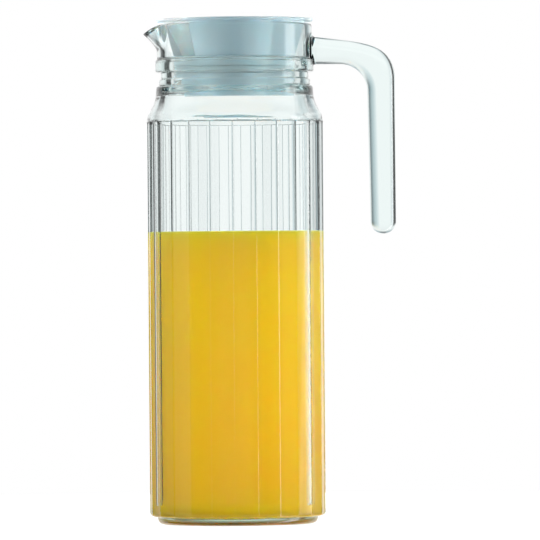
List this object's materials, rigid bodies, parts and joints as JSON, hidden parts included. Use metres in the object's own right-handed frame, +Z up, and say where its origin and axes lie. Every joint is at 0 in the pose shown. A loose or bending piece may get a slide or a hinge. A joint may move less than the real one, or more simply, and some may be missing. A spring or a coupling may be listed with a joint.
{
  "type": "fridge jug",
  "caption": "Tall faceted glass fridge jug with a pouring lip, an open hook handle and a plug-in lid whose cap turns to open or shut its pour window.",
  "frame": {"origin": "centre of the flat base, on the jug's axis", "axes": "+Z up along the jug's axis, -X towards the spout, +X towards the handle"},
  "size_m": [0.1295, 0.0904, 0.26],
  "materials": {
    "clear_glass": "clear pressed glass, glossy",
    "milky_plastic": "translucent milky polyethylene, satin",
    "soft_silicone": "soft translucent silicone, matte"
  },
  "bodies": {
    "jug": {"glass_jug": "clear_glass", "glass_handle": "clear_glass"},
    "plug": {"lid_plug": "milky_plastic", "lid_seal": "soft_silicone"},
    "cap": {"lid_cap": "milky_plastic"}
  },
  "joints": [
    {"name": "lid_lift", "type": "slide", "parent": "jug", "child": "plug", "axis": [0, 0, 1], "range_m": [0, 0.06]},
    {"name": "lid_turn", "type": "hinge", "parent": "plug", "child": "cap", "pos_m": [0, 0, 0.2398], "axis": [0, 0, 1], "continuous": true}
  ]
}
